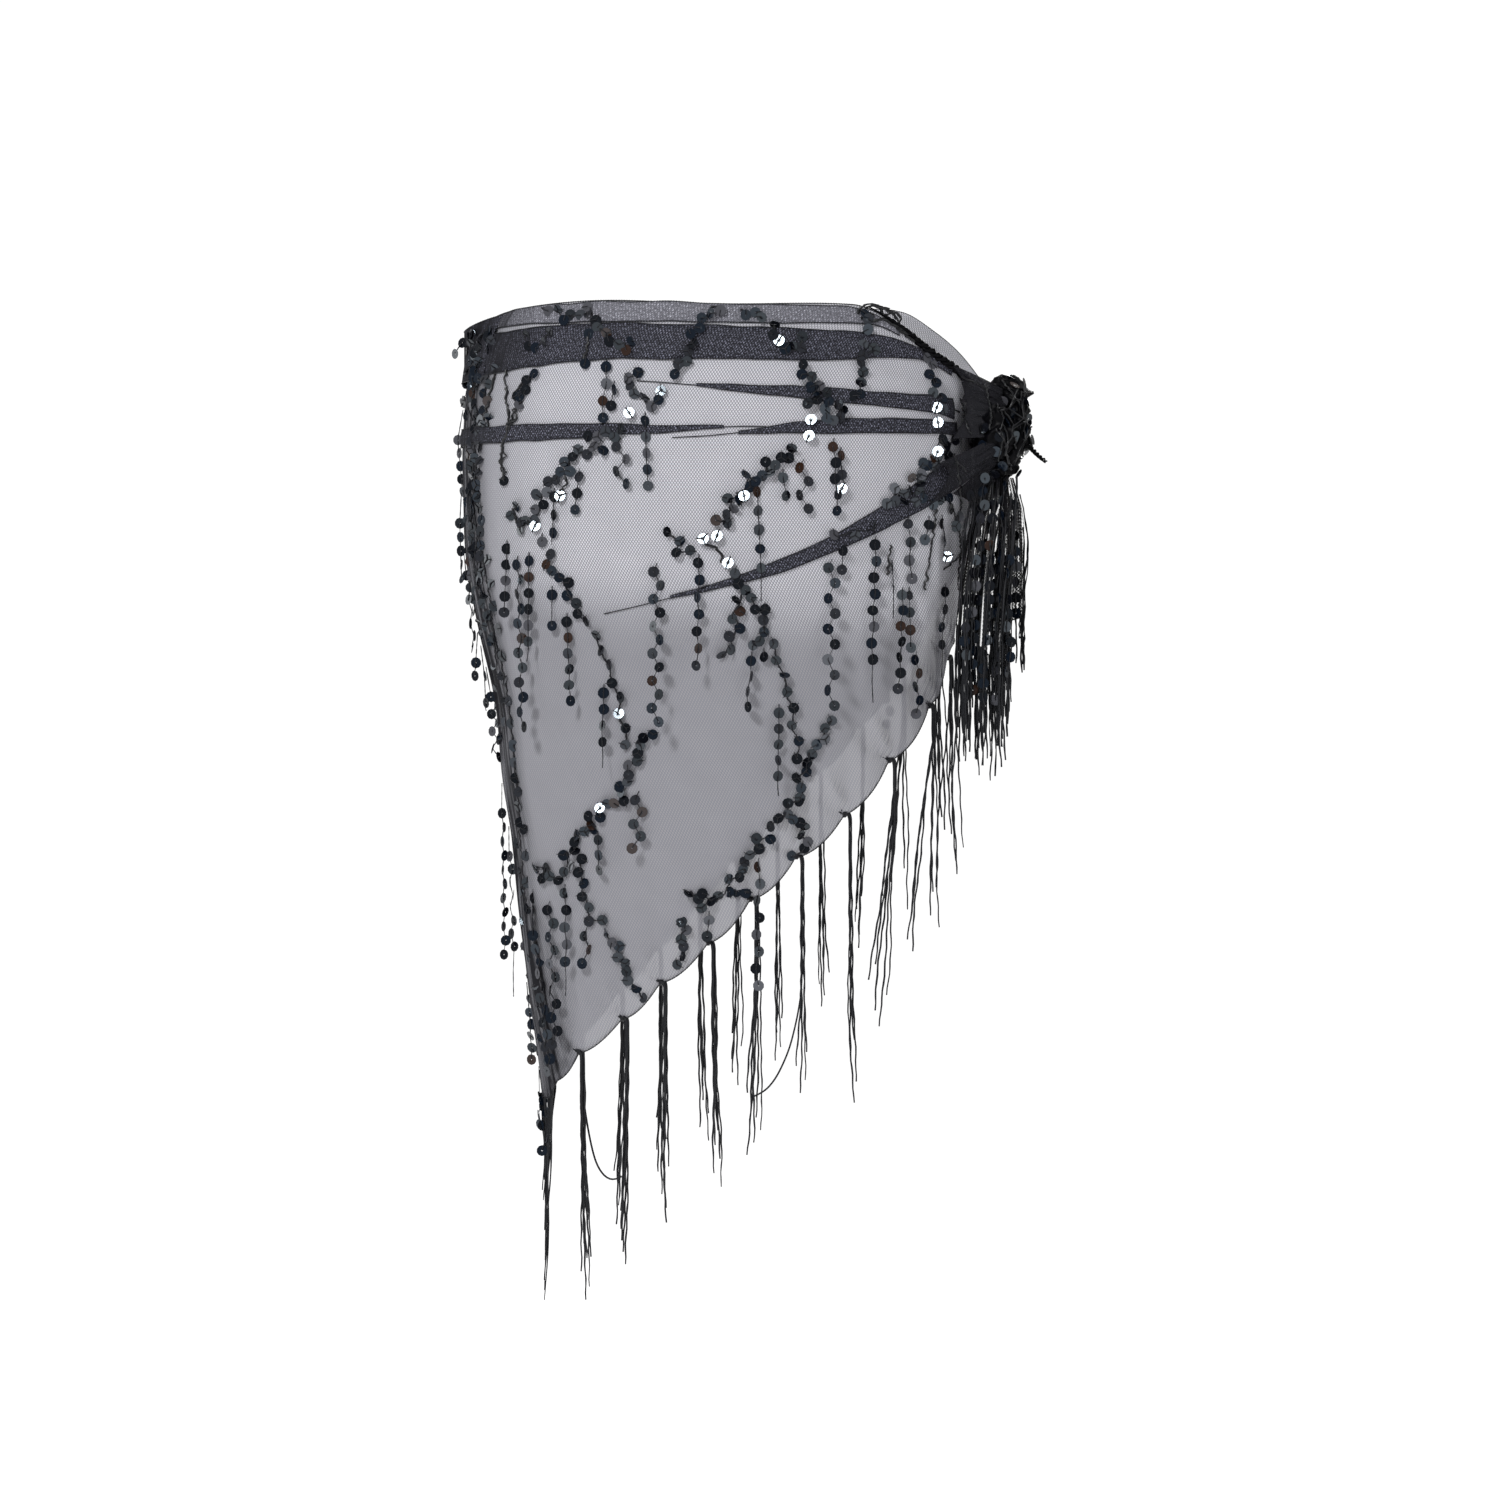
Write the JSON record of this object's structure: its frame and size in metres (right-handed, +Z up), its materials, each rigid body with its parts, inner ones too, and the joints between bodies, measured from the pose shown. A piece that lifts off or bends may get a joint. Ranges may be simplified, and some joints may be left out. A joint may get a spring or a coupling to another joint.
{
  "type": "sequin hip scarf",
  "caption": "Sheer triangular hip scarf with sequin strings and a yarn fringe, wound round the hips and knotted at one side.",
  "frame": {"origin": "centre of the hip opening, level with the middle of the folded top band, where the wearer's hips hold it", "axes": "+Z up, -Y towards the side with the diagonal fold and the most sequins, +X towards the knot"},
  "size_m": [0.3825, 0.2329, 0.6628],
  "materials": {
    "mesh_cloth": "sheer black net with even small holes",
    "folded_cloth": "several layers of the same net, nearly opaque",
    "knot_cloth": "bunched net, black",
    "fringe_yarn": "thin twisted black yarn",
    "sequin": "glossy black film with a faint blue-green sheen"
  },
  "bodies": {
    "root": {"back_stretch": "mesh_cloth", "front_stretch": "mesh_cloth", "top_edge_fold": "folded_cloth", "top_band": "folded_cloth", "hip_band": "folded_cloth", "upper_tuck": "folded_cloth", "lower_tuck": "folded_cloth", "diagonal_tuck": "folded_cloth", "front_diagonal_tuck": "folded_cloth", "knot_fan": "knot_cloth", "knot": "knot_cloth", "back_tail": "folded_cloth", "front_tail": "folded_cloth", "back_tail_fringe": "fringe_yarn", "front_tail_fringe": "fringe_yarn", "tip_tassel": "fringe_yarn", "back_tassel_01": "fringe_yarn", "back_tassel_02": "fringe_yarn", "back_tassel_03": "fringe_yarn", "back_tassel_04": "fringe_yarn", "back_tassel_05": "fringe_yarn", "back_tassel_06": "fringe_yarn", "back_tassel_07": "fringe_yarn", "back_tassel_08": "fringe_yarn", "back_tassel_09": "fringe_yarn", "back_tassel_10": "fringe_yarn", "front_tassel_01": "fringe_yarn", "front_tassel_02": "fringe_yarn", "front_tassel_03": "fringe_yarn", "front_tassel_04": "fringe_yarn", "front_tassel_05": "fringe_yarn", "front_tassel_06": "fringe_yarn", "front_tassel_07": "fringe_yarn", "front_tassel_08": "fringe_yarn", "front_tassel_09": "fringe_yarn", "front_tassel_10": "fringe_yarn"}
  },
  "joints": []
}
